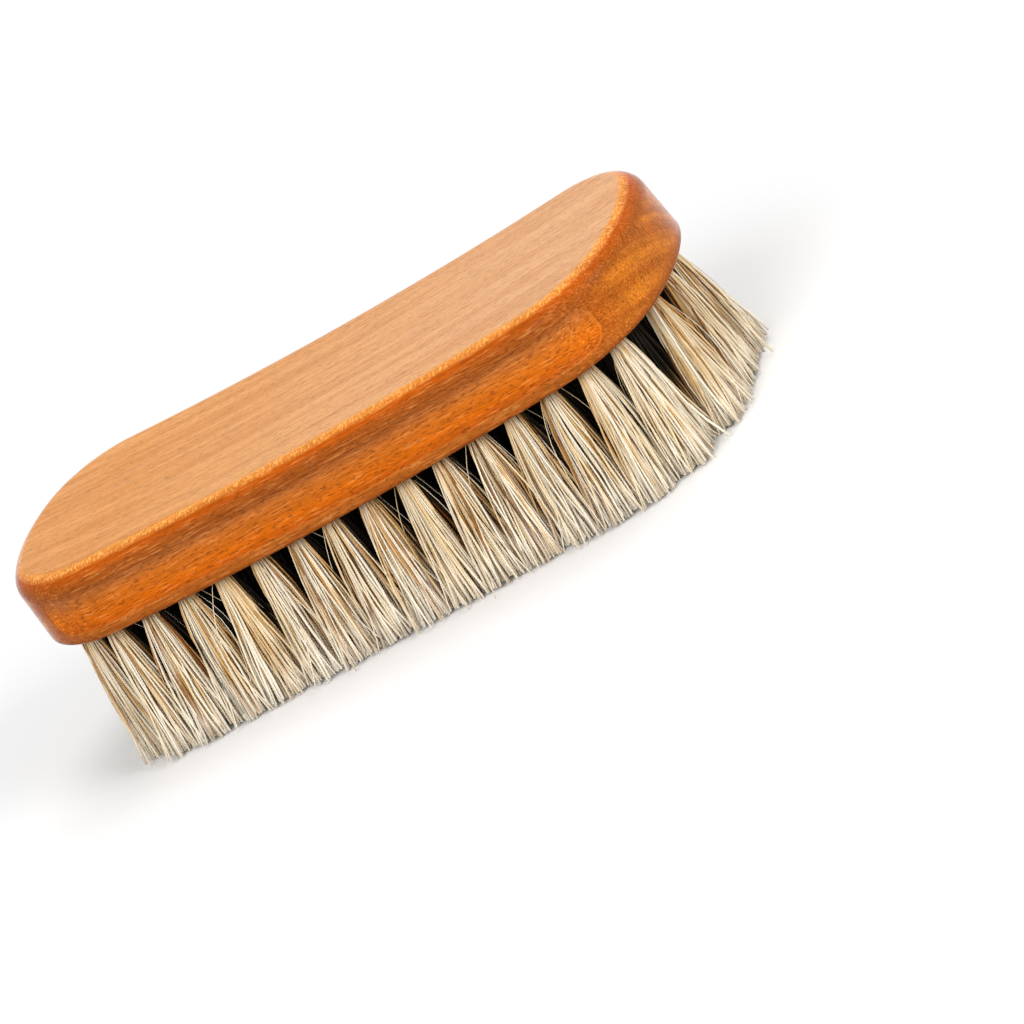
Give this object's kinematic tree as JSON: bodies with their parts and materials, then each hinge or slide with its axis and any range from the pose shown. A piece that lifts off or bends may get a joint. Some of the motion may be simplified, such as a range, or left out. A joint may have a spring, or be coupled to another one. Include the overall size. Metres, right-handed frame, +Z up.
{
  "type": "shoe shine brush",
  "caption": "Long oval shoe shine brush: a gently bent, lacquered wooden block with finger grooves and dense natural hair tufts trimmed level.",
  "frame": {"origin": "middle of the brush on the plane of the trimmed hair tips", "axes": "+X along the block's length, +Y across it, +Z up from the hair tips to the wooden block"},
  "size_m": [0.1708, 0.0716, 0.0495],
  "materials": {
    "lacquered_beech": "glossy clear lacquer over beech",
    "natural_hair": "natural undyed horsehair with a soft sheen",
    "anchor_steel": "plain drawn metal"
  },
  "bodies": {
    "root": {"handle_block": "lacquered_beech", "tuft_column_01": "natural_hair", "tuft_column_02": "natural_hair", "tuft_column_03": "natural_hair", "tuft_column_04": "natural_hair", "tuft_column_05": "natural_hair", "tuft_column_06": "natural_hair", "tuft_column_07": "natural_hair", "tuft_column_08": "natural_hair", "tuft_column_09": "natural_hair", "tuft_column_10": "natural_hair", "tuft_column_11": "natural_hair", "tuft_column_12": "natural_hair", "tuft_column_13": "natural_hair", "tuft_column_14": "natural_hair", "tuft_column_15": "natural_hair", "tuft_column_16": "natural_hair", "tuft_column_17": "natural_hair", "tuft_column_18": "natural_hair", "tuft_anchors": "anchor_steel"}
  },
  "joints": []
}
